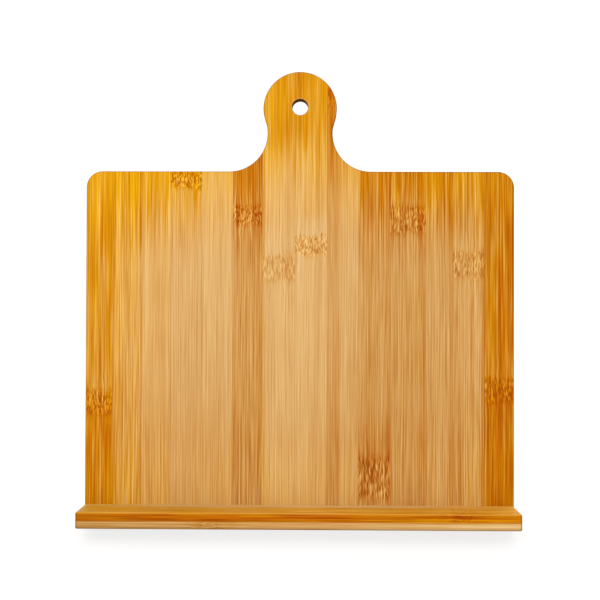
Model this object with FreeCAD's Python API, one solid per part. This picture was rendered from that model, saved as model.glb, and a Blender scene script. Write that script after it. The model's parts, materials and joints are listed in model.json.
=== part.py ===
import FreeCAD, Part
import math
import os
from FreeCAD import Vector

# A book display stand of laminated bamboo. A paddle-shaped board leans back with its foot on the
# table, a ledge across its front carries the book, and a triangular leg hinged to its back props it up.
#
# Everything is made upright, in the board's own directions, and leaned back at the very end:
#   X runs across the board, from the reader's left to right
#   Y runs through the board, from its front towards the leg
#   Z runs up the board, along its grain
# The origin is the middle of the narrow bevel at the foot of the board, which rests on the table.

# ---- driving dimensions, in mm and degrees ----
LEAN = 20.0                 # how far the board leans back from upright

BOARD_WIDTH = 320.0
PLY = 6.0                   # one layer of bamboo; the board and the leg are two layers thick
SHOULDER_Z = 260.2          # top edge of the broad part of the board
SHOULDER_R = 12.0
KNOB_Z = 307.5              # centre of the round handle
KNOB_R = 27.5
NECK_R = 28.7               # hollow curve between the handle and the shoulder
HANGING_HOLE_Z = 308.6
HANGING_HOLE_R = 6.0
HOLE_RIM = 0.5              # chamfer around the hanging hole, front and back
BOARD_EDGE_R = 1.0
FOOT_BEVEL = 5.0            # how much of the board's thickness the bevel at its foot takes up

# widths of the front layer's strips, left to right; trimming the board to width narrowed the outer ones
FRONT_STRIPS = (20.0, 22.0, 21.5, 23.2, 23.2, 22.1, 24.6, 24.0, 23.5, 23.5, 26.6, 20.2, 23.5, 22.1)

LEDGE_DEPTH = 35.0
LEDGE_UPPER = 6.4           # thickness of the ledge's upper layer
LEDGE_LOWER = 5.6
LEDGE_UPPER_REAR = 11.0     # depth of the rear strip in each layer
LEDGE_LOWER_REAR = 22.0
LEDGE_CORNER_R = 2.0        # the two upright front corners
LEDGE_TOP_R = 1.5
LEDGE_BOTTOM_R = 1.0

LEG_GAP = 0.3               # between the leg's front edge and the board's back
LEG_BOTTOM_Z = 24.0         # ends of the leg's front edge
LEG_TOP_Z = 212.0
LEG_TOP_DEPTH = 22.0        # where the leg's sloping rear edge starts
LEG_HEEL_FRONT = 90.0       # ends of the face that rests on the table
LEG_HEEL_REAR = 112.0
LEG_ARCH_Y = 56.0           # corner that the arch under the leg is rounded from
LEG_ARCH_Z = 46.0
LEG_ARCH_R = 60.0
LEG_CORNER_R = 5.0
LEG_EDGE_R = 1.0
LEG_STRIP = 24.0            # a strip of the leg; one in each layer is trimmed narrower
LEG_STRIPS = 5

HINGES = {"lower_hinge": 62.0, "upper_hinge": 178.0}    # height of each hinge's middle
HINGE_LENGTH = 30.0
HINGE_LEAF = 11.5           # from the pin's axis to the free edge of a leaf
LEAF_THICKNESS = 1.0
LEAF_CORNER_R = 1.5
KNUCKLES = 5                # the board's leaf has every other one, starting with the first
KNUCKLE_R = 1.75
KNUCKLE_GAP = 0.15          # between one knuckle and the next
KNUCKLE_CLEARANCE = 0.3     # between a knuckle and the wood or leaf that it turns past
PIN_R = 0.9
PIN_CLEARANCE = 0.05
PIN_HEAD_R = 1.35
PIN_HEAD = 0.6
HINGE_SCREW_SPACING = 18.0
HINGE_SCREW_OUT = 6.9       # from the pin's axis to the screws

LEDGE_SCREW_XS = (-140.0, -50.0, 50.0, 140.0)
LEDGE_SCREW_Z = 5.6
LEDGE_SCREW = {"head_r": 3.5, "shank_r": 1.75, "length": 30.0}
HINGE_SCREW = {"head_r": 2.3, "shank_r": 1.2, "length": 8.0}
RECESS_ARM = 0.6            # the cross in a screw's head, as shares of the head's radius
RECESS_HALF_WIDTH = 0.16
RECESS_DEPTH = 0.4

# ---- derived dimensions ----
SLOPE = math.tan(math.radians(LEAN))
HALF_WIDTH = BOARD_WIDTH / 2
BACK = FOOT_BEVEL / 2       # the board's back face
MIDDLE = BACK - PLY         # the glue face between its layers
FRONT = MIDDLE - PLY        # its front face
BOTTOM = -BACK * SLOPE
LEDGE_JOINT = BOTTOM + LEDGE_LOWER
LEDGE_TOP = LEDGE_JOINT + LEDGE_UPPER
LEDGE_FRONT = FRONT - LEDGE_DEPTH
LEG_FRONT = BACK + LEG_GAP
LEG_FACE = PLY              # the leg's right face, which carries the hinges
AXIS_OFFSET = KNUCKLE_R + KNUCKLE_CLEARANCE
PIN_X = LEG_FACE + AXIS_OFFSET
PIN_Y = BACK + AXIS_OFFSET
FAR = 500.0                 # beyond every face

ORIGIN = Vector(0, 0, 0)
X = Vector(1, 0, 0)
Y = Vector(0, 1, 0)
Z = Vector(0, 0, 1)


# ---- basic shapes ----
def block(xs, ys, zs):
    """A box between two limits in each direction."""
    return Part.makeBox(xs[1] - xs[0], ys[1] - ys[0], zs[1] - zs[0], Vector(xs[0], ys[0], zs[0]))


def line(start, end):
    return Part.LineSegment(start, end).toShape()


def arc(centre, start, end):
    """The shorter arc from start to end around a centre."""
    outward = (start - centre) + (end - centre)
    middle = centre + outward.normalize() * start.distanceToPoint(centre)
    return Part.Arc(start, middle, end).toShape()


def rounded_outline(corners):
    """A closed outline through flat corners, each a point and its radius. Radius 0 stays sharp."""
    edges = []
    starts = []
    ends = []
    for i, (point, radius) in enumerate(corners):
        before = (corners[i - 1][0] - point).normalize()
        after = (corners[(i + 1) % len(corners)][0] - point).normalize()
        half_angle = before.getAngle(after) / 2
        start = point + before * (radius / math.tan(half_angle))
        end = point + after * (radius / math.tan(half_angle))
        if radius:
            centre = point + (before + after).normalize() * (radius / math.sin(half_angle))
            edges.append(arc(centre, start, end))
        starts.append(start)
        ends.append(end)
    for end, next_start in zip(ends, starts[1:] + starts[:1]):
        edges.append(line(end, next_start))
    return Part.Wire(Part.__sortEdges__(edges))


def lies_at(edge, direction, distance):
    """Does the whole edge lie in the plane at this distance along the direction?"""
    return all(abs(point.dot(direction) - distance) < 0.001 for point in edge.discretize(5))


def running_total(start, widths):
    """The joints between strips of these widths, laid side by side from start."""
    joints = [start]
    for width in widths:
        joints.append(joints[-1] + width)
    return joints


def under_table():
    """All the space below the table's surface."""
    space = block((-FAR, FAR), (-FAR, FAR), (-FAR, 0))
    space.rotate(ORIGIN, X, LEAN)
    return space


# ---- screws ----
def plain_screw(size, seat, direction):
    """A countersunk screw with no recess, which is also the shape of its hole. seat is the head's centre."""
    head_depth = size["head_r"] - size["shank_r"]
    tip = 1.5 * size["shank_r"]
    shank_length = size["length"] - head_depth - tip
    head = Part.makeCone(size["head_r"], size["shank_r"], head_depth, seat, direction)
    shank = Part.makeCylinder(size["shank_r"], shank_length, seat + direction * head_depth, direction)
    point = Part.makeCone(size["shank_r"], 0, tip, seat + direction * (head_depth + shank_length), direction)
    return head.fuse([shank, point]).removeSplitter()


def finished_screw(size, seat, direction):
    """The screw with a cross recess in its head."""
    arm = RECESS_ARM * size["head_r"]
    half_width = RECESS_HALF_WIDTH * size["head_r"]
    depth = RECESS_DEPTH * size["head_r"]
    cross = block((-arm, arm), (-half_width, half_width), (-depth, depth))
    cross = cross.fuse(block((-half_width, half_width), (-arm, arm), (-depth, depth)))
    cross.Placement = FreeCAD.Placement(seat, FreeCAD.Rotation(Z, direction))
    return plain_screw(size, seat, direction).cut(cross)


def ledge_screw_seats():
    return [Vector(x, BACK, LEDGE_SCREW_Z) for x in LEDGE_SCREW_XS]


def hinge_screw_heights():
    half = HINGE_SCREW_SPACING / 2
    return [middle + side * half for middle in HINGES.values() for side in (-1, 1)]


def board_hinge_seats():
    return [Vector(PIN_X + HINGE_SCREW_OUT, BACK + LEAF_THICKNESS, z) for z in hinge_screw_heights()]


def leg_hinge_seats():
    return [Vector(LEG_FACE + LEAF_THICKNESS, PIN_Y + HINGE_SCREW_OUT, z) for z in hinge_screw_heights()]


def all_screws(make):
    """Every screw as made by one of the functions above, grouped by node."""
    return {
        "ledge_screws": [make(LEDGE_SCREW, seat, -Y) for seat in ledge_screw_seats()],
        "hinge_board_screws": [make(HINGE_SCREW, seat, -Y) for seat in board_hinge_seats()],
        "hinge_leg_screws": [make(HINGE_SCREW, seat, -X) for seat in leg_hinge_seats()],
    }


# ---- board ----
def board_outline():
    """The paddle shape: a broad board with rounded shoulders, and hollow curves up to a round handle."""
    knob = Vector(0, FRONT, KNOB_Z)
    shoulder = Vector(HALF_WIDTH - SHOULDER_R, FRONT, SHOULDER_Z - SHOULDER_R)
    neck_z = SHOULDER_Z + NECK_R
    neck_x = math.sqrt((KNOB_R + NECK_R) ** 2 - (KNOB_Z - neck_z) ** 2)
    neck = Vector(neck_x, FRONT, neck_z)
    touch = neck + (knob - neck).normalize() * NECK_R
    bottom_middle = Vector(0, FRONT, BOTTOM)
    bottom_corner = Vector(HALF_WIDTH, FRONT, BOTTOM)
    right_half = [
        line(bottom_middle, bottom_corner),
        line(bottom_corner, shoulder + X * SHOULDER_R),
        arc(shoulder, shoulder + X * SHOULDER_R, shoulder + Z * SHOULDER_R),
        line(shoulder + Z * SHOULDER_R, neck - Z * NECK_R),
        arc(neck, neck - Z * NECK_R, touch),
        arc(knob, touch, knob + Z * KNOB_R),
    ]
    left_half = [edge.mirror(ORIGIN, X) for edge in right_half]
    return Part.Wire(Part.__sortEdges__(right_half + left_half))


def hanging_hole():
    """The drill through the handle, with a chamfered rim at each end."""
    front_end = Vector(0, FRONT, HANGING_HOLE_Z)
    back_end = Vector(0, BACK, HANGING_HOLE_Z)
    rim_r = HANGING_HOLE_R + HOLE_RIM
    drill = Part.makeCylinder(HANGING_HOLE_R, 2 * PLY, front_end, Y)
    front_rim = Part.makeCone(rim_r, HANGING_HOLE_R, HOLE_RIM, front_end, Y)
    back_rim = Part.makeCone(rim_r, HANGING_HOLE_R, HOLE_RIM, back_end, -Y)
    return drill.fuse([front_rim, back_rim])


def make_board():
    """The board in one piece, before it is parted into its layers and strips."""
    board = Part.Face(board_outline()).extrude(Y * (2 * PLY))
    faces = [e for e in board.Edges if lies_at(e, Y, FRONT) or lies_at(e, Y, BACK)]
    board = board.makeFillet(BOARD_EDGE_R, [e for e in faces if not lies_at(e, Z, BOTTOM)])
    return board.cut([hanging_hole(), under_table()])


def board_strips(board):
    """The two layers' strips. Each joint in the back layer lies behind the middle of a front strip."""
    front_joints = running_total(-HALF_WIDTH, FRONT_STRIPS)
    strip_middles = [(left + right) / 2 for left, right in zip(front_joints, front_joints[1:])]
    back_joints = [-HALF_WIDTH] + strip_middles + [HALF_WIDTH]
    layers = {"front_strip": (front_joints, (FRONT, MIDDLE)), "back_strip": (back_joints, (MIDDLE, BACK))}
    strips = {}
    for name, (joints, ys) in layers.items():
        for number, xs in enumerate(zip(joints, joints[1:]), start=1):
            strips[f"{name}_{number:02d}"] = board.common(block(xs, ys, (-FAR, FAR))).Solids
    return strips


# ---- ledge ----
def make_ledge():
    """The bar that the book stands on, in one piece, across the foot of the board's front."""
    outline = rounded_outline([
        (Vector(-HALF_WIDTH, FRONT, BOTTOM), 0),
        (Vector(-HALF_WIDTH, LEDGE_FRONT, BOTTOM), LEDGE_CORNER_R),
        (Vector(HALF_WIDTH, LEDGE_FRONT, BOTTOM), LEDGE_CORNER_R),
        (Vector(HALF_WIDTH, FRONT, BOTTOM), 0),
    ])
    ledge = Part.Face(outline).extrude(Z * (LEDGE_TOP - BOTTOM))
    for height, radius in ((LEDGE_TOP, LEDGE_TOP_R), (BOTTOM, LEDGE_BOTTOM_R)):
        level = [e for e in ledge.Edges if lies_at(e, Z, height) and not lies_at(e, Y, FRONT)]
        ledge = ledge.makeFillet(radius, level)
    return ledge


def ledge_strips(ledge):
    """Two layers, each of a front and a rear strip whose grain runs along the ledge."""
    layers = {
        "upper": (LEDGE_UPPER_REAR, (LEDGE_JOINT, LEDGE_TOP)),
        "lower": (LEDGE_LOWER_REAR, (BOTTOM, LEDGE_JOINT)),
    }
    strips = {}
    for layer, (rear_depth, zs) in layers.items():
        joint = FRONT - rear_depth
        for place, ys in (("rear", (joint, FRONT)), ("front", (LEDGE_FRONT, joint))):
            strips[f"ledge_{layer}_{place}_strip"] = ledge.common(block((-FAR, FAR), ys, zs)).Solids
    return strips


# ---- leg ----
def make_leg():
    """The triangular leg in one piece. Its heel rests on the table, and an arch clears the table ahead of it."""
    def corner(y, z, radius):
        return (Vector(-LEG_FACE, y, z), radius)

    outline = rounded_outline([
        corner(LEG_FRONT, LEG_BOTTOM_Z, LEG_CORNER_R),
        corner(LEG_ARCH_Y, LEG_ARCH_Z, LEG_ARCH_R),
        corner(LEG_HEEL_FRONT, LEG_HEEL_FRONT * SLOPE, LEG_CORNER_R),
        corner(LEG_HEEL_REAR, LEG_HEEL_REAR * SLOPE, LEG_CORNER_R),
        corner(LEG_TOP_DEPTH, LEG_TOP_Z, LEG_CORNER_R),
        corner(LEG_FRONT, LEG_TOP_Z, LEG_CORNER_R),
    ])
    leg = Part.Face(outline).extrude(X * (2 * PLY))
    return leg.makeFillet(LEG_EDGE_R, [e for e in leg.Edges if lies_at(e, X, -PLY) or lies_at(e, X, PLY)])


def leg_strips(leg):
    """The leg's strips, grain along its front edge. The narrow one is first on the left, last on the right."""
    whole_strips = [LEG_STRIP] * (LEG_STRIPS - 1)
    narrow = LEG_HEEL_REAR - LEG_FRONT - sum(whole_strips)
    layers = {"left": ([narrow] + whole_strips, (-PLY, 0)), "right": (whole_strips + [narrow], (0, PLY))}
    strips = {}
    for layer, (widths, xs) in layers.items():
        joints = running_total(LEG_FRONT, widths)
        for number, ys in enumerate(zip(joints, joints[1:]), start=1):
            strips[f"leg_{layer}_strip_{number}"] = leg.common(block(xs, ys, (-FAR, FAR))).Solids
    return strips


# ---- hinges ----
def make_leaf(bottom, own_knuckles):
    """A hinge leaf beside a pin that stands on the origin. The leaf lies along X, on the pin's near side."""
    flat = (-AXIS_OFFSET, LEAF_THICKNESS - AXIS_OFFSET)
    inner = KNUCKLE_R + KNUCKLE_CLEARANCE
    top = bottom + HINGE_LENGTH
    outline = rounded_outline([
        (Vector(inner, flat[0], bottom), 0),
        (Vector(HINGE_LEAF, flat[0], bottom), LEAF_CORNER_R),
        (Vector(HINGE_LEAF, flat[0], top), LEAF_CORNER_R),
        (Vector(inner, flat[0], top), 0),
    ])
    leaf = Part.Face(outline).extrude(Y * LEAF_THICKNESS)
    pitch = (HINGE_LENGTH + KNUCKLE_GAP) / KNUCKLES
    for number in own_knuckles:
        low = bottom + number * pitch
        high = low + pitch - KNUCKLE_GAP
        barrel = Part.makeCylinder(KNUCKLE_R, high - low, Vector(0, 0, low), Z)
        leaf = leaf.fuse([barrel, block((0, inner), flat, (low, high))])
    bore = Part.makeCylinder(PIN_R + PIN_CLEARANCE, HINGE_LENGTH, Vector(0, 0, bottom), Z)
    return leaf.removeSplitter().cut(bore)


def make_pin(bottom):
    """The hinge pin, with a small head formed at each end to keep it in."""
    pin = Part.makeCylinder(PIN_R, HINGE_LENGTH, Vector(0, 0, bottom), Z)
    for start, direction in ((bottom, -Z), (bottom + HINGE_LENGTH, Z)):
        head = Part.makeCylinder(PIN_HEAD_R, PIN_HEAD, Vector(0, 0, start), direction)
        rim = [e for e in head.Edges if lies_at(e, Z, start + direction.z * PIN_HEAD)]
        pin = pin.fuse(head.makeFillet(PIN_HEAD / 2, rim))
    return pin


def make_hinge(name, middle):
    """A butt hinge in the corner between the board's back and the leg's right face."""
    bottom = middle - HINGE_LENGTH / 2
    leg_leaf = make_leaf(bottom, range(1, KNUCKLES, 2)).mirror(ORIGIN, Y)
    leg_leaf.rotate(ORIGIN, Z, 90)
    pieces = {
        f"{name}_board_leaf": make_leaf(bottom, range(0, KNUCKLES, 2)),
        f"{name}_leg_leaf": leg_leaf,
        f"{name}_pin": make_pin(bottom),
    }
    for piece in pieces.values():
        piece.translate(Vector(PIN_X, PIN_Y, 0))
    return pieces


# ---- the whole stand ----
def make_stand():
    """Every node of the stand, upright, as a list of solids each."""
    holes = [hole for group in all_screws(plain_screw).values() for hole in group]
    nodes = board_strips(make_board().cut(holes))
    nodes.update(ledge_strips(make_ledge().cut(holes)))
    nodes.update(leg_strips(make_leg().cut(holes)))
    for name, middle in HINGES.items():
        for piece_name, piece in make_hinge(name, middle).items():
            nodes[piece_name] = piece.cut(holes).Solids
    for name, screws in all_screws(finished_screw).items():
        nodes[name] = [solid for screw in screws for solid in screw.Solids]
    return nodes


os.makedirs("parts", exist_ok=True)
for node, solids in make_stand().items():
    shape = solids[0] if len(solids) == 1 else Part.makeCompound(solids)
    shape.rotate(ORIGIN, X, -LEAN)
    shape.exportStep(f"parts/{node}.step")
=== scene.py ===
import json
import math

import bpy
from mathutils import Matrix, Vector


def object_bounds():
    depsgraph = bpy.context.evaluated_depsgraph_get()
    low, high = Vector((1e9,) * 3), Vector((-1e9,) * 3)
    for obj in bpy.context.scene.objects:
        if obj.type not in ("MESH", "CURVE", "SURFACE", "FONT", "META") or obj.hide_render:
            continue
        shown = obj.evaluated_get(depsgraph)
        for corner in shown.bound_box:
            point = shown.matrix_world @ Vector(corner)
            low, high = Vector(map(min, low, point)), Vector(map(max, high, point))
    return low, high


# The looks of the bamboo book display stand: every CAD node keeps its shape and gets its material here.
# Grain is worked out in the board's own directions, in mm: across the board, through it, and up it.

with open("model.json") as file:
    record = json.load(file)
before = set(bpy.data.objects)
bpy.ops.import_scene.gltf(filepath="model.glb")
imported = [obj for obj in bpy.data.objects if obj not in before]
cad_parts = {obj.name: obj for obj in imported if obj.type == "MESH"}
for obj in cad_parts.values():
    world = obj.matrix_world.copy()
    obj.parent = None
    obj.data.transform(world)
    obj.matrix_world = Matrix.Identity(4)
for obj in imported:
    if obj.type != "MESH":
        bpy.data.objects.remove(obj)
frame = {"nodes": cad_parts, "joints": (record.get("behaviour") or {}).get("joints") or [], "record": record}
cad_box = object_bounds()

MM = 0.001
NODES = frame["nodes"]
HOLE = next(mount for mount in frame["record"]["mounts"] if mount["name"] == "hanging_hole")

# the board's own directions; the leg's hinge axis points down the board
ACROSS, THROUGH, UP = range(3)
UP_BOARD = -Vector(frame["joints"][0]["axis"])
LEAN = math.atan2(UP_BOARD.y, UP_BOARD.z)
TO_BOARD = Matrix.Rotation(LEAN, 3, "X")
AXES = [TO_BOARD.transposed() @ axis for axis in Matrix.Identity(3)]

# places of a Mix node's color sockets, which have the same names as its number sockets
MIX_SHARE, MIX_A, MIX_B, MIX_RESULT = 0, 6, 7, 2


def board_box(node):
    """Lowest and highest corner of a node in the board's own directions, in mm."""
    points = [TO_BOARD @ v.co / MM for v in NODES[node].data.vertices]
    low = Vector([min(p[i] for p in points) for i in range(3)])
    high = Vector([max(p[i] for p in points) for i in range(3)])
    return low, high


HALF_WIDTH = round(board_box("front_strip_14")[1].x, 3)


def nodes_named(start):
    """Names of the nodes that begin with start, in order."""
    return sorted(name for name in NODES if name.startswith(start))


# ---- shader nodes ----
class Shader:
    """Adds nodes to one node tree. Each method returns the output socket of what it added."""

    def __init__(self, tree):
        self.tree = tree

    def node(self, kind, inputs=(), **settings):
        node = self.tree.nodes.new(kind)
        for key, value in settings.items():
            setattr(node, key, value)
        for key, value in dict(inputs).items():
            self.feed(node.inputs[key], value)
        return node

    def feed(self, socket, value):
        if isinstance(value, bpy.types.NodeSocket):
            self.tree.links.new(value, socket)
        else:
            socket.default_value = value

    def maths(self, operation, *values, clamp=False):
        inputs = dict(enumerate(values))
        return self.node("ShaderNodeMath", inputs, operation=operation, use_clamp=clamp).outputs[0]

    def vector(self, x, y, z):
        return self.node("ShaderNodeCombineXYZ", {0: x, 1: y, 2: z}).outputs[0]

    def facing(self, normal, direction):
        """How squarely a surface faces a direction or its opposite, from 0 to 1."""
        node = self.node("ShaderNodeVectorMath", {0: normal, 1: tuple(direction)}, operation="DOT_PRODUCT")
        return self.maths("ABSOLUTE", node.outputs["Value"])

    def noise(self, vector, detail):
        inputs = {"Vector": vector, "Scale": 1.0, "Detail": detail, "Roughness": 0.5}
        return self.node("ShaderNodeTexNoise", inputs).outputs["Fac"]

    def span(self, value, low, high, to_low=0.0, to_high=1.0, smooth=False):
        """value from low..high to to_low..to_high, held at both ends."""
        inputs = {"Value": value, "From Min": low, "From Max": high, "To Min": to_low, "To Max": to_high}
        kind = "SMOOTHSTEP" if smooth else "LINEAR"
        return self.node("ShaderNodeMapRange", inputs, interpolation_type=kind).outputs[0]

    def mix(self, share, a, b, blend="MIX"):
        node = self.node("ShaderNodeMix", data_type="RGBA", blend_type=blend)
        self.feed(node.inputs[MIX_SHARE], share)
        self.feed(node.inputs[MIX_A], a)
        self.feed(node.inputs[MIX_B], b)
        return node.outputs[MIX_RESULT]


def rgb(red, green, blue):
    return (red, green, blue, 1.0)


def new_material(name):
    """A new material, and its Principled node."""
    material = bpy.data.materials.new(name)
    material.use_nodes = True
    return material, material.node_tree.nodes["Principled BSDF"]


def board_place(sh, coordinates):
    """A point's place in the board's own directions, in mm."""
    inputs = {"Vector": coordinates["Object"], "Rotation": (LEAN, 0.0, 0.0), "Scale": (1 / MM,) * 3}
    return sh.node("ShaderNodeMapping", inputs).outputs[0]


def lay_on(sh, principled, color, roughness, height, strength, depth):
    """Give a surface its color, its roughness, and bumps from a height."""
    bump = sh.node("ShaderNodeBump", {"Height": height, "Strength": strength, "Distance": depth})
    sh.feed(principled.inputs["Base Color"], color)
    sh.feed(principled.inputs["Roughness"], roughness)
    sh.feed(principled.inputs["Normal"], bump.outputs[0])


def paint(node, material):
    """Give a CAD node its material in every slot."""
    mesh = NODES[node].data
    mesh.materials.clear()
    mesh.materials.append(material)


# ---- bamboo ----
PALE_LIGHT = rgb(0.590, 0.360, 0.143)
PALE_DARK = rgb(0.450, 0.205, 0.040)
RICH_LIGHT = rgb(0.625, 0.300, 0.0015)
RICH_DARK = rgb(0.388, 0.088, 0.0005)
GLUE = rgb(0.250, 0.090, 0.015)
# painted shade for the drilled wall inside the hanging hole
HOLE_WALL_SHADE = rgb(0.13, 0.035, 0.001)
# painted highlight for the ledge's rounded upper front edge
PAINTED_HIGHLIGHT = rgb(0.60, 0.28, 0.04)

# these multiply the color under them
FIBRE_LIGHT = rgb(1.28, 1.44, 1.67)
FIBRE_DARK = rgb(0.72, 0.56, 0.33)
KNUCKLE_LIGHT = rgb(1.17, 1.21, 1.20)
KNUCKLE_DARK = rgb(0.71, 0.49, 0.20)
# painted shade along the sawn edges and the rounded outline
PAINTED_EDGE_SHADE = rgb(0.56, 0.50, 0.42)
# darkens the ledge towards its left end
LEFT_END_DARKER = rgb(0.86, 0.90, 0.90)
# painted shade for the ledge's underside and bottom edge, near the floor
PAINTED_UNDERSIDE_SHADE = rgb(0.55, 0.52, 0.50)

# a height that no strip reaches, for a strip that shows no knuckle
NO_KNUCKLE = -1000.0

# half the width of a vein's soft edge, in mm
VEIN_BLUR = 0.4

# how far apart the noise of two neighbouring seeds lies
SEED_STEP = 13.7

# the first seed of each group of strips
FRONT_SEED = 1.0
BACK_SEED = 31.0
LEDGE_SEED = 61.0
LEG_SEED = 81.0


def bamboo_group():
    """Flat-grain bamboo: long straight fibres, and at a knuckle a band of short twisted ones."""
    group = bpy.data.node_groups.new("bamboo", "ShaderNodeTree")
    names = ("Across", "Depth", "Along", "Seed", "Tone", "Paleness", "Streaks", "Knuckle", "Knuckle Size",
             "Knuckle Mark", "Above", "Below", "Vein", "Joint")
    for name in names:
        group.interface.new_socket(name, in_out="INPUT", socket_type="NodeSocketFloat")
    group.interface.new_socket("Color", in_out="OUTPUT", socket_type="NodeSocketColor")
    for name in ("Roughness", "Height"):
        group.interface.new_socket(name, in_out="OUTPUT", socket_type="NodeSocketFloat")
    sh = Shader(group)
    given = sh.node("NodeGroupInput").outputs
    across, depth, along, seed = given["Across"], given["Depth"], given["Along"], given["Seed"]
    start = sh.maths("MULTIPLY", seed, SEED_STEP)

    def streaks(x, width, length, detail=0.0):
        """Noise in streaks of about this width and length in mm, spread over -1 to 1."""
        place = sh.vector(
            sh.maths("ADD", sh.maths("DIVIDE", x, width), start),
            sh.maths("DIVIDE", depth, width),
            sh.maths("DIVIDE", along, length),
        )
        return sh.span(sh.noise(place, detail), 0.25, 0.75, -1.0, 1.0)

    def total(*terms):
        """The sum of several (socket, weight) pairs."""
        result = 0.0
        for socket, weight in terms:
            result = sh.maths("MULTIPLY_ADD", socket, weight, result)
        return result

    # height above the knuckle, with a ragged edge; a knuckle of size 1 is a band 15 mm high
    off = total((along, 1.0), (given["Knuckle"], -1.0), (streaks(across, 1.1, 30.0), 2.2))
    off = sh.maths("DIVIDE", off, given["Knuckle Size"])
    distance = sh.maths("ABSOLUTE", off)
    reach = sh.span(distance, 30.0, 5.0, smooth=True)

    # the knuckle's band of short leaning dashes, darker along its two rims
    band = sh.maths("MULTIPLY", sh.span(distance, 8.2, 6.0, smooth=True), given["Knuckle Mark"])
    rim = sh.span(sh.maths("ABSOLUTE", sh.maths("SUBTRACT", distance, 7.5)), 2.5, 0.5)
    rim = sh.maths("MULTIPLY", rim, given["Knuckle Mark"])
    leaning = total((across, 1.0), (streaks(across, 6.0, 5.0), 0.5))
    dash_length = sh.maths("MULTIPLY", given["Knuckle Size"], 3.0)
    dash = total((streaks(leaning, 0.66, dash_length), 0.85), (streaks(leaning, 0.38, dash_length), 0.4))
    dashes = sh.maths("MULTIPLY", dash, band)

    # fibres swerve around the knuckle, and wander a little everywhere
    swerve = sh.maths("MULTIPLY", streaks(across, 4.0, 14.0), reach)
    bent = total((across, 1.0), (swerve, 0.55), (streaks(across, 20.0, 150.0), 0.4))

    fine = sh.maths("SUBTRACT", streaks(bent, 0.80, 85.0), streaks(sh.maths("ADD", bent, 1.0), 0.80, 85.0))
    hair = streaks(bent, 0.42, 22.0)
    middling = streaks(bent, 1.6, 90.0)
    broad = streaks(bent, 6.0, 200.0)
    blotch = streaks(across, 9.0, 35.0)
    wisp = sh.maths("MULTIPLY", streaks(bent, 1.5, 13.0, 1.0), reach)

    # light and dark fibres, which show more where the color is rich than where it is pale
    rich = sh.span(given["Paleness"], 0.9, 0.3)
    contrast = sh.maths("MULTIPLY", given["Streaks"], sh.span(rich, 0.0, 1.0, 1.0, 1.75))
    fibre = sh.maths("MULTIPLY", total((fine, 0.66), (hair, 0.60), (middling, 0.30)), contrast)

    # the strip is darker or lighter just above the knuckle, and all the way below it
    above = sh.maths("MULTIPLY", sh.span(off, 3.0, 9.0), sh.span(off, 26.0, 9.0))
    above = sh.maths("MULTIPLY", above, given["Above"])
    below = sh.maths("MULTIPLY", sh.span(off, 4.0, -4.0), given["Below"])
    vein = sh.maths("MULTIPLY", given["Vein"], sh.span(streaks(across, 3.0, 40.0), -0.8, 0.2, 0.4, 1.0))
    flame = total((streaks(bent, 2.1, 36.0), 0.55), (streaks(sh.maths("ADD", bent, 7.0), 0.9, 50.0), 0.65))

    # tone runs from the dark to the light colors, paleness from the rich to the pale ones
    broad_tone = sh.maths("MULTIPLY", broad, given["Tone"])
    flame_tone = sh.maths("MULTIPLY", flame, rich)
    tone = total((given["Tone"], 0.7), (broad, 0.09), (broad_tone, 0.11), (blotch, 0.07), (wisp, 0.22),
                 (dashes, 0.20), (rim, -0.12), (flame_tone, 0.22), (above, -0.25), (below, -0.25),
                 (vein, -0.30))
    tone = sh.maths("ADD", tone, 0.15, clamp=True)
    flame_paleness = sh.maths("MULTIPLY", flame, sh.span(rich, 0.0, 1.0, 0.06, 0.30))
    paleness = total((given["Paleness"], 1.0), (fibre, 0.20), (flame_paleness, 1.0), (rich, -0.07),
                     (dashes, 0.25), (band, -0.12), (rim, -0.15), (above, -0.35), (below, -0.25),
                     (vein, -0.45))
    paleness = sh.span(paleness, 0.0, 1.0)
    color = sh.mix(paleness, sh.mix(tone, RICH_DARK, RICH_LIGHT), sh.mix(tone, PALE_DARK, PALE_LIGHT))
    color = sh.mix(1.0, color, sh.mix(sh.span(fibre, -1.0, 1.0), FIBRE_DARK, FIBRE_LIGHT), blend="MULTIPLY")

    mark = sh.mix(sh.span(dash, -0.45, 0.45), KNUCKLE_DARK, KNUCKLE_LIGHT)
    color = sh.mix(band, color, mark, blend="MULTIPLY")
    glue = sh.span(given["Joint"], 0.25, 0.08, 0.0, 0.45)
    color = sh.mix(glue, color, GLUE)

    roughness = sh.span(fibre, -1.0, 1.0, 0.50, 0.38)
    roughness = sh.maths("ADD", roughness, sh.maths("MULTIPLY", band, 0.06))
    height = total((fibre, 0.3), (dashes, 0.6), (glue, -1.0))
    sh.node("NodeGroupOutput", {"Color": color, "Roughness": roughness, "Height": height})
    return group


BAMBOO = bamboo_group()


def nearest_joint(sh, board, joints):
    """The distance to the nearest of several glue lines, each a (direction, place); far away without any."""
    nearest = 100.0
    for direction, place in joints:
        distance = sh.maths("SUBTRACT", board[direction], place)
        nearest = sh.maths("MINIMUM", sh.maths("ABSOLUTE", distance), nearest)
    return nearest


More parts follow.
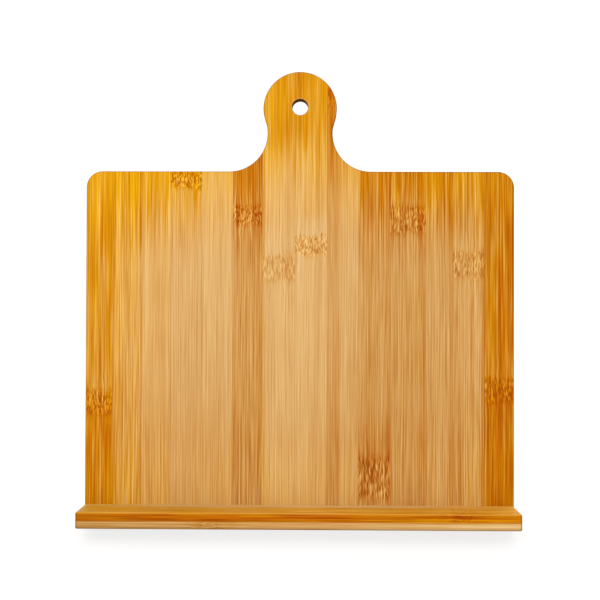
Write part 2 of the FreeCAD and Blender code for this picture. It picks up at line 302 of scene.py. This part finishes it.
def tone_and_painted_light(tone, stains):
    """A board strip's tone as it changes up the board.

    It is darker low down, most of all on the left, and painted lighter near the ledge, painted light thrown
    back from it. It is lighter at the shoulders, and darker again on the handle. stains are darker columns,
    as in vein_shade.
    """

    def tone_with_bounce(sh, board):
        low = sh.span(board[ACROSS], -HALF_WIDTH, HALF_WIDTH, 0.22, 0.10)
        low = sh.maths("MULTIPLY", sh.span(board[UP], 160.0, 80.0), low)
        # painted light: the low board is lighter where light thrown back from the ledge would fall
        painted_bounce = sh.span(sh.maths("ABSOLUTE", board[ACROSS]), 145.0, 130.0, 0.2, 0.45)
        painted_bounce = sh.maths("MULTIPLY", sh.span(board[UP], 60.0, 20.0), painted_bounce)
        shoulder = sh.span(board[UP], 215.0, 245.0, 0.0, 0.15)
        handle = sh.span(board[UP], 262.0, 290.0, 0.0, 0.30)
        change = sh.maths("SUBTRACT", sh.maths("ADD", painted_bounce, shoulder), sh.maths("ADD", low, handle))
        change = sh.maths("SUBTRACT", change, vein_shade(sh, board[ACROSS], stains))
        return sh.maths("ADD", change, tone)

    return tone_with_bounce


def vein_shade(sh, across, veins):
    """How strongly a place lies in a vein. veins lists each one's middle and width in mm and its strength."""
    shade = 0.0
    for middle, width, strength in veins:
        off = sh.maths("ABSOLUTE", sh.maths("SUBTRACT", across, middle))
        vein = sh.span(off, width / 2 + VEIN_BLUR, width / 2 - VEIN_BLUR, 0.0, strength)
        shade = sh.maths("MAXIMUM", vein, shade)
    return shade


def bamboo(name, order, seed, tone, joints, edges, paleness=0.65, streaks=0.5, knuckle=NO_KNUCKLE, size=1.0,
           mark=1.0, above=0.3, below=0.0, veins=(), extra=None):
    """A material for one strip.

    order names the board directions that run across the strip, through its thickness and along its grain.
    joints lists (direction, place) of its visible glue lines, and edges
    the directions its sawn edges face. tone and paleness are numbers, or functions that make a socket
    from the shader and the board coordinates. knuckle, size and mark are the height, size and strength of
    its knuckle, and above and below are how much darker it is there. extra changes the finished color and
    roughness.
    """
    material, principled = new_material(name)
    sh = Shader(material.node_tree)
    coordinates = sh.node("ShaderNodeTexCoord").outputs
    board = sh.node("ShaderNodeSeparateXYZ", {0: board_place(sh, coordinates)}).outputs
    facing = 0.0
    for direction in edges:
        facing = sh.maths("MAXIMUM", sh.facing(coordinates["Normal"], AXES[direction]), facing)
    edge = sh.span(facing, 0.15, 0.70)
    inputs = {
        "Across": board[order[0]],
        "Depth": board[order[1]],
        "Along": board[order[2]],
        "Seed": seed,
        "Tone": tone(sh, board) if callable(tone) else tone,
        "Paleness": paleness(sh, board) if callable(paleness) else paleness,
        "Streaks": sh.span(edge, 0.0, 1.0, streaks, streaks * 0.5),
        "Knuckle": knuckle,
        "Knuckle Size": size,
        "Knuckle Mark": sh.span(edge, 0.0, 1.0, mark, mark * 0.3),
        "Above": above,
        "Below": below,
        "Vein": vein_shade(sh, board[order[0]], veins),
        "Joint": nearest_joint(sh, board, joints),
    }
    pattern = sh.node("ShaderNodeGroup", node_tree=BAMBOO)
    for key, value in inputs.items():
        sh.feed(pattern.inputs[key], value)
    color, roughness = pattern.outputs["Color"], pattern.outputs["Roughness"]
    # painted shade where the surface turns towards a sawn edge
    color = sh.mix(edge, color, PAINTED_EDGE_SHADE, blend="MULTIPLY")
    if extra:
        color, roughness = extra(sh, board, coordinates["Normal"], color, roughness)
    principled.inputs["Specular IOR Level"].default_value = 0.02
    lay_on(sh, principled, color, roughness, pattern.outputs["Height"], strength=0.3, depth=0.1 * MM)
    return material


def hole_shade_and_highlight(sh, board, normal, color, roughness):
    """The drilled wall of the hanging hole is painted dark, painted shade inside the hole, and its chamfered
    rim is painted pale, a painted highlight.
    """
    centre = TO_BOARD @ Vector(HOLE["pos_m"]) / MM
    radius = HOLE["dims"]["r_mm"]
    up = sh.maths("SUBTRACT", board[UP], centre.z)
    squares = sh.maths("ADD", sh.maths("POWER", board[ACROSS], 2.0), sh.maths("POWER", up, 2.0))
    from_centre = sh.maths("SQRT", squares)
    # painted highlight on the chamfered rim, and painted shade on the drilled wall
    rim = sh.span(from_centre, radius + 0.8, radius + 0.5, 0.0, 0.6)
    wall = sh.span(from_centre, radius + 0.15, radius + 0.05)
    color = sh.mix(wall, sh.mix(rim, color, PALE_LIGHT), HOLE_WALL_SHADE)
    return color, sh.maths("MAXIMUM", roughness, wall)


def ledge_highlight_and_shade(sh, board, normal, color, roughness):
    """The ledge's rounded upper front edge has a painted highlight, it is darker towards its left end, and
    its underside and bottom edge have painted shade.
    """
    # painted highlight on the rounded upper front edge
    painted_highlight = sh.span(sh.facing(normal, (AXES[UP] - AXES[THROUGH]).normalized()), 0.93, 0.99, 0.0, 0.8)
    color = sh.mix(painted_highlight, color, PAINTED_HIGHLIGHT)
    # the ledge is darker towards its left end
    color = sh.mix(sh.span(board[ACROSS], 0.0, -150.0), color, LEFT_END_DARKER, blend="MULTIPLY")
    # painted shade on the underside and the lowest few mm of the ledge, near the floor
    under = sh.span(board[UP], 1.8, -0.8)
    return sh.mix(under, color, PAINTED_UNDERSIDE_SHADE, blend="MULTIPLY"), roughness


def board_paleness(middle, shoulder):
    """How pale a board strip is at its middle and at shoulder height.

    The board is painted paler in its middle, a painted sheen of soft reflected light, and richer on the
    handle and along its outer edges.
    """

    def paleness(sh, board):
        side = sh.maths("POWER", sh.maths("ABSOLUTE", sh.maths("DIVIDE", board[ACROSS], HALF_WIDTH)), 8.0)
        side = sh.maths("MULTIPLY", side, 0.6)
        top = sh.span(board[UP], 265.0, 180.0, 0.0, 1.0 - shoulder, smooth=True)
        neck = sh.span(board[UP], 305.0, 240.0, 0.06, shoulder, smooth=True)
        bottom = sh.span(board[UP], 110.0, 10.0, middle, middle * 0.72, smooth=True)
        pale = sh.maths("MULTIPLY", sh.maths("SUBTRACT", 1.0, side), sh.maths("ADD", top, neck))
        return sh.maths("MULTIPLY", pale, bottom)

    return paleness


# the board's front strips, left to right. pale is how pale a strip is at its middle and at shoulder height.
# A knuckle is placed in mm up the board, and a vein or stain by the share of the strip's width on its left.
FRONT_STRIPS = [
    {"tone": 0.80, "streaks": 0.32, "pale": (0.40, -0.60), "knuckle": 87.0, "size": 1.2, "mark": 0.8,
     "above": -0.3, "below": 0.5, "veins": [(0.90, 3.6, 0.85)]},
    {"tone": 0.85, "streaks": 0.38, "pale": (0.62, -0.05), "veins": [(0.04, 3.5, 0.5), (0.98, 1.5, 0.5)]},
    {"tone": 0.82, "streaks": 0.30, "pale": (0.85, 0.06), "veins": [(0.97, 1.5, 0.3)]},
    {"tone": 0.66, "streaks": 0.30, "pale": (0.95, 0.10), "knuckle": 254.0, "size": 0.8, "mark": 1.2,
     "above": 0.0, "below": -0.3, "veins": [(0.82, 2.2, 0.35)]},
    {"tone": 0.80, "streaks": 0.30, "pale": (1.00, 0.50)},
    {"tone": 0.06, "streaks": 0.52, "pale": (0.90, 0.08), "knuckle": 227.5, "size": 0.95, "mark": 0.9,
     "above": -0.1, "below": -0.25, "veins": [(0.93, 2.0, 0.3)]},
    {"tone": 1.00, "streaks": 0.30, "pale": (1.00, 0.66), "knuckle": 188.0, "size": 1.4, "mark": 0.5,
     "above": -0.3, "veins": [(0.04, 2.0, 0.8)]},
    {"tone": 0.88, "streaks": 0.30, "pale": (1.00, 0.60), "knuckle": 205.0, "size": 0.95, "mark": 0.8,
     "above": -0.8},
    {"tone": 0.75, "streaks": 0.36, "pale": (1.00, 0.58), "knuckle": 316.0, "size": 0.7, "mark": 0.7,
     "stains": [(0.19, 9.0, 0.55)]},
    {"tone": 0.22, "streaks": 0.52, "pale": (1.00, 0.05), "knuckle": 31.0, "size": 2.0,
     "above": 0.6, "veins": [(0.93, 3.0, 0.5)]},
    {"tone": 0.22, "streaks": 0.50, "pale": (1.00, 0.06), "knuckle": 224.0, "size": 1.3, "mark": 0.8,
     "above": -0.2, "veins": [(0.90, 5.5, 0.45)]},
    {"tone": 0.42, "streaks": 0.46, "pale": (1.00, -0.05), "veins": [(0.22, 2.2, 0.35), (0.93, 3.0, 0.55)]},
    {"tone": 0.55, "streaks": 0.48, "pale": (0.95, 0.20), "knuckle": 190.5, "size": 1.35, "mark": 0.65,
     "above": -0.3, "veins": [(0.62, 1.6, 0.4), (0.96, 3.0, 0.65)]},
    {"tone": 0.28, "streaks": 0.44, "pale": (0.20, 0.24), "knuckle": 97.0, "size": 1.2, "mark": 0.8,
     "above": -0.2, "below": 0.55, "veins": [(0.55, 3.5, 0.4)]},
]

# the back strips and the leg's strips take turns with these
OTHER_TONES = (0.6, 0.15, 0.7, 0.5, 0.9, 0.3, 0.75)
OTHER_KNUCKLES = (70.0, NO_KNUCKLE, 150.0, 215.0, NO_KNUCKLE, 110.0, 40.0, 180.0)

# how each part's strips lie, and which of their edges are sawn
BOARD = {"order": (ACROSS, THROUGH, UP), "edges": (ACROSS, UP), "extra": hole_shade_and_highlight}
LEDGE = {"order": (THROUGH, UP, ACROSS), "edges": (ACROSS,), "extra": ledge_highlight_and_shade}
LEG = {"order": (THROUGH, ACROSS, UP), "edges": (THROUGH, UP)}


def unseen_look(number, tone_step, knuckle_step):
    """The tone and knuckle of a strip that the front doesn't show."""
    return {
        "tone": OTHER_TONES[number * tone_step % len(OTHER_TONES)],
        "knuckle": OTHER_KNUCKLES[number * knuckle_step % len(OTHER_KNUCKLES)],
    }


def inner_joints(node):
    """The board strip's glue lines with its neighbours; the board's outer edges are not glue lines."""
    low, high = board_box(node)
    return [(ACROSS, place) for place in (low.x, high.x) if abs(place) < HALF_WIDTH - 0.01]


def finish_board():
    layers = (THROUGH, board_box("front_strip_01")[1].y)
    for number, (node, look) in enumerate(zip(nodes_named("front_strip"), FRONT_STRIPS)):
        look = dict(look)
        left, right = (corner.x for corner in board_box(node))
        for kind in ("veins", "stains"):
            look[kind] = [(left + share * (right - left), *rest) for share, *rest in look.get(kind, ())]
        look["tone"] = tone_and_painted_light(look["tone"], look.pop("stains"))
        look["paleness"] = board_paleness(*look.pop("pale"))
        joints = inner_joints(node) + [layers]
        paint(node, bamboo(node, seed=FRONT_SEED + number, joints=joints, **look, **BOARD))
    for number, node in enumerate(nodes_named("back_strip")):
        look = unseen_look(number, tone_step=1, knuckle_step=3)
        look["paleness"] = board_paleness(0.9, 0.4)
        joints = inner_joints(node) + [layers]
        paint(node, bamboo(node, seed=BACK_SEED + number, joints=joints, **look, **BOARD))


def finish_ledge():
    layers = (UP, board_box("ledge_lower_front_strip")[1].z)
    front = board_box("ledge_upper_front_strip")[0].y

    def top_or_face(sh, board, top, face):
        """One value on the ledge's top, and another on its sawn front face."""
        return sh.span(board[THROUGH], front + 0.9, front + 0.3, top, face)

    def upper_tone(sh, board):
        """The front face is darker than the top, most of all at its left end."""
        return top_or_face(sh, board, 0.85, sh.span(board[ACROSS], -120.0, 120.0, -0.20, 0.10))

    def upper_paleness(sh, board):
        return top_or_face(sh, board, 0.25, -0.3)

    def lower_tone(sh, board):
        return sh.span(board[ACROSS], -120.0, 120.0, 0.30, 0.95)

    def rear_paleness(sh, board):
        """The rear strip is paler in the ledge's middle and richer towards its ends."""
        return sh.span(sh.maths("ABSOLUTE", board[ACROSS]), 80.0, 150.0, 0.85, 0.35)

    looks = {
        "ledge_upper_rear_strip": {"tone": 1.3, "streaks": 0.5, "paleness": rear_paleness},
        "ledge_upper_front_strip": {"tone": upper_tone, "streaks": 0.5, "paleness": upper_paleness,
                                    "knuckle": 119.0, "mark": 0.5},
        "ledge_lower_rear_strip": {"tone": 0.6, "paleness": 0.7, "knuckle": -90.0},
        "ledge_lower_front_strip": {"tone": lower_tone, "paleness": 0.88, "knuckle": -65.0, "mark": 0.4},
    }
    for number, (node, look) in enumerate(looks.items()):
        low, high = board_box(node)
        joints = [(THROUGH, high.y if "front" in node else low.y), layers]
        paint(node, bamboo(node, seed=LEDGE_SEED + number, joints=joints, **look, **LEDGE))


def finish_leg():
    """The leg's layers meet on the stand's middle line. Strips are numbered from the board outwards."""
    for number, node in enumerate(nodes_named("leg_left") + nodes_named("leg_right")):
        low, high = board_box(node)
        joints = [(ACROSS, 0.0)]
        if not node.endswith("_1"):
            joints.append((THROUGH, low.y))
        if not node.endswith("_5"):
            joints.append((THROUGH, high.y))
        look = unseen_look(number, tone_step=2, knuckle_step=5)
        paint(node, bamboo(node, seed=LEG_SEED + number, joints=joints, **look, **LEG))


# ---- metal ----
def brushed_metal(name, light, dark, brushed):
    """Metal with darker patches of tarnish, and with fine scratches along the hinges where it is brushed."""
    material, principled = new_material(name)
    sh = Shader(material.node_tree)
    place = board_place(sh, sh.node("ShaderNodeTexCoord").outputs)

    def speckle(scale, detail):
        """Noise at this many specks per mm in each of the board's directions."""
        return sh.noise(sh.node("ShaderNodeMapping", {"Vector": place, "Scale": scale}).outputs[0], detail)

    scratches = speckle((5.0, 5.0, 0.12), 3.0)
    tarnish = speckle((0.25, 0.25, 0.25), 4.0)
    color = sh.mix(sh.span(tarnish, 0.45, 0.75, 0.0, 0.35), light, dark)
    color = sh.mix(sh.span(scratches, 0.35, 0.75, 0.0, 0.25 * brushed), color, dark)
    roughness = sh.span(scratches, 0.3, 0.7, 0.22, 0.22 + 0.2 * brushed)
    roughness = sh.maths("ADD", roughness, sh.span(tarnish, 0.4, 0.8, 0.0, 0.15))
    principled.inputs["Metallic"].default_value = 1.0
    lay_on(sh, principled, color, roughness, scratches, strength=0.2, depth=0.02 * MM)
    return material


def finish_metal():
    brass = brushed_metal("brass_sheet", rgb(0.60, 0.41, 0.11), rgb(0.36, 0.22, 0.05), brushed=1.0)
    screw_brass = brushed_metal("brass_screw", rgb(0.74, 0.61, 0.28), rgb(0.48, 0.34, 0.12), brushed=0.4)
    zinc = brushed_metal("zinc_plate", rgb(0.66, 0.67, 0.67), rgb(0.40, 0.41, 0.42), brushed=0.5)
    for node in nodes_named("lower_hinge") + nodes_named("upper_hinge"):
        paint(node, brass)
    for node in ("hinge_board_screws", "hinge_leg_screws"):
        paint(node, screw_brass)
    paint("ledge_screws", zinc)


# ---- studio ----
def add_object(name, data):
    """Put a new object that shows this data into the scene."""
    thing = bpy.data.objects.new(name, data)
    bpy.context.scene.collection.objects.link(thing)
    return thing


def make_floor():
    """A paper floor that glows evenly, so that it fades into the white behind the stand."""
    mesh = bpy.data.meshes.new("floor")
    half = 8.0
    corners = [(-half, -half, 0), (half, -half, 0), (half, half, 0), (-half, half, 0)]
    mesh.from_pydata(corners, [], [(0, 1, 2, 3)])
    floor = add_object("floor", mesh)
    material, principled = new_material("floor_paper")
    principled.inputs["Base Color"].default_value = rgb(0.233, 0.200, 0.178)
    principled.inputs["Emission Color"].default_value = rgb(0.763, 0.790, 0.805)
    principled.inputs["Emission Strength"].default_value = 1.0
    principled.inputs["Roughness"].default_value = 0.9
    principled.inputs["Specular IOR Level"].default_value = 0.1
    mesh.materials.append(material)


def softbox(name, place, aim, size, power):
    """A rectangular soft light, with its place, aim and size in m."""
    light = bpy.data.lights.new(name, "AREA")
    light.shape = "RECTANGLE"
    light.size, light.size_y = size
    light.energy = power
    box = add_object(name, light)
    box.location = place
    box.rotation_euler = (Vector(aim) - Vector(place)).to_track_quat("-Z", "Y").to_euler()


def make_lights(centre):
    world = bpy.data.worlds.new("studio")
    world.use_nodes = True
    background = world.node_tree.nodes["Background"]
    background.inputs["Color"].default_value = rgb(1.0, 1.0, 1.0)
    background.inputs["Strength"].default_value = 1.1
    bpy.context.scene.world = world
    softbox("key", place=(-0.35, -0.5, 0.85), aim=centre, size=(0.6, 0.6), power=3.5)
    softbox("rear", place=(0.5, 1.1, 0.9), aim=centre, size=(0.8, 0.8), power=6.0)


# the camera looks almost square at the leaning board; lens and sensor in mm, distance in m
CAMERA_LENS = 67.2
CAMERA_SENSOR = 36.0
CAMERA_DISTANCE = 0.8368
CAMERA_AZIMUTH = math.radians(0.79)
CAMERA_ELEVATION = math.radians(19.27)
CAMERA_ROLL = math.radians(-0.08)

# where it aims on the board's front face, in mm
AIM_ACROSS = 0.36
AIM_UP = 164.0


def make_camera():
    face = board_box("front_strip_07")[0].y
    aim = TO_BOARD.transposed() @ Vector((AIM_ACROSS, face, AIM_UP)) * MM
    level = math.cos(CAMERA_ELEVATION)
    towards = Vector((
        math.sin(CAMERA_AZIMUTH) * level,
        -math.cos(CAMERA_AZIMUTH) * level,
        math.sin(CAMERA_ELEVATION),
    ))
    data = bpy.data.cameras.new("camera")
    data.lens = CAMERA_LENS
    data.sensor_width = CAMERA_SENSOR
    camera = add_object("camera", data)
    camera.location = aim + towards * CAMERA_DISTANCE
    turn = (-towards).to_track_quat("-Z", "Y").to_matrix() @ Matrix.Rotation(CAMERA_ROLL, 3, "Z")
    camera.rotation_euler = turn.to_euler()
    bpy.context.scene.camera = camera


finish_board()
finish_ledge()
finish_leg()
finish_metal()
make_floor()
make_lights((cad_box[0] + cad_box[1]) / 2)
make_camera()
bpy.context.scene.view_settings.view_transform = "Standard"
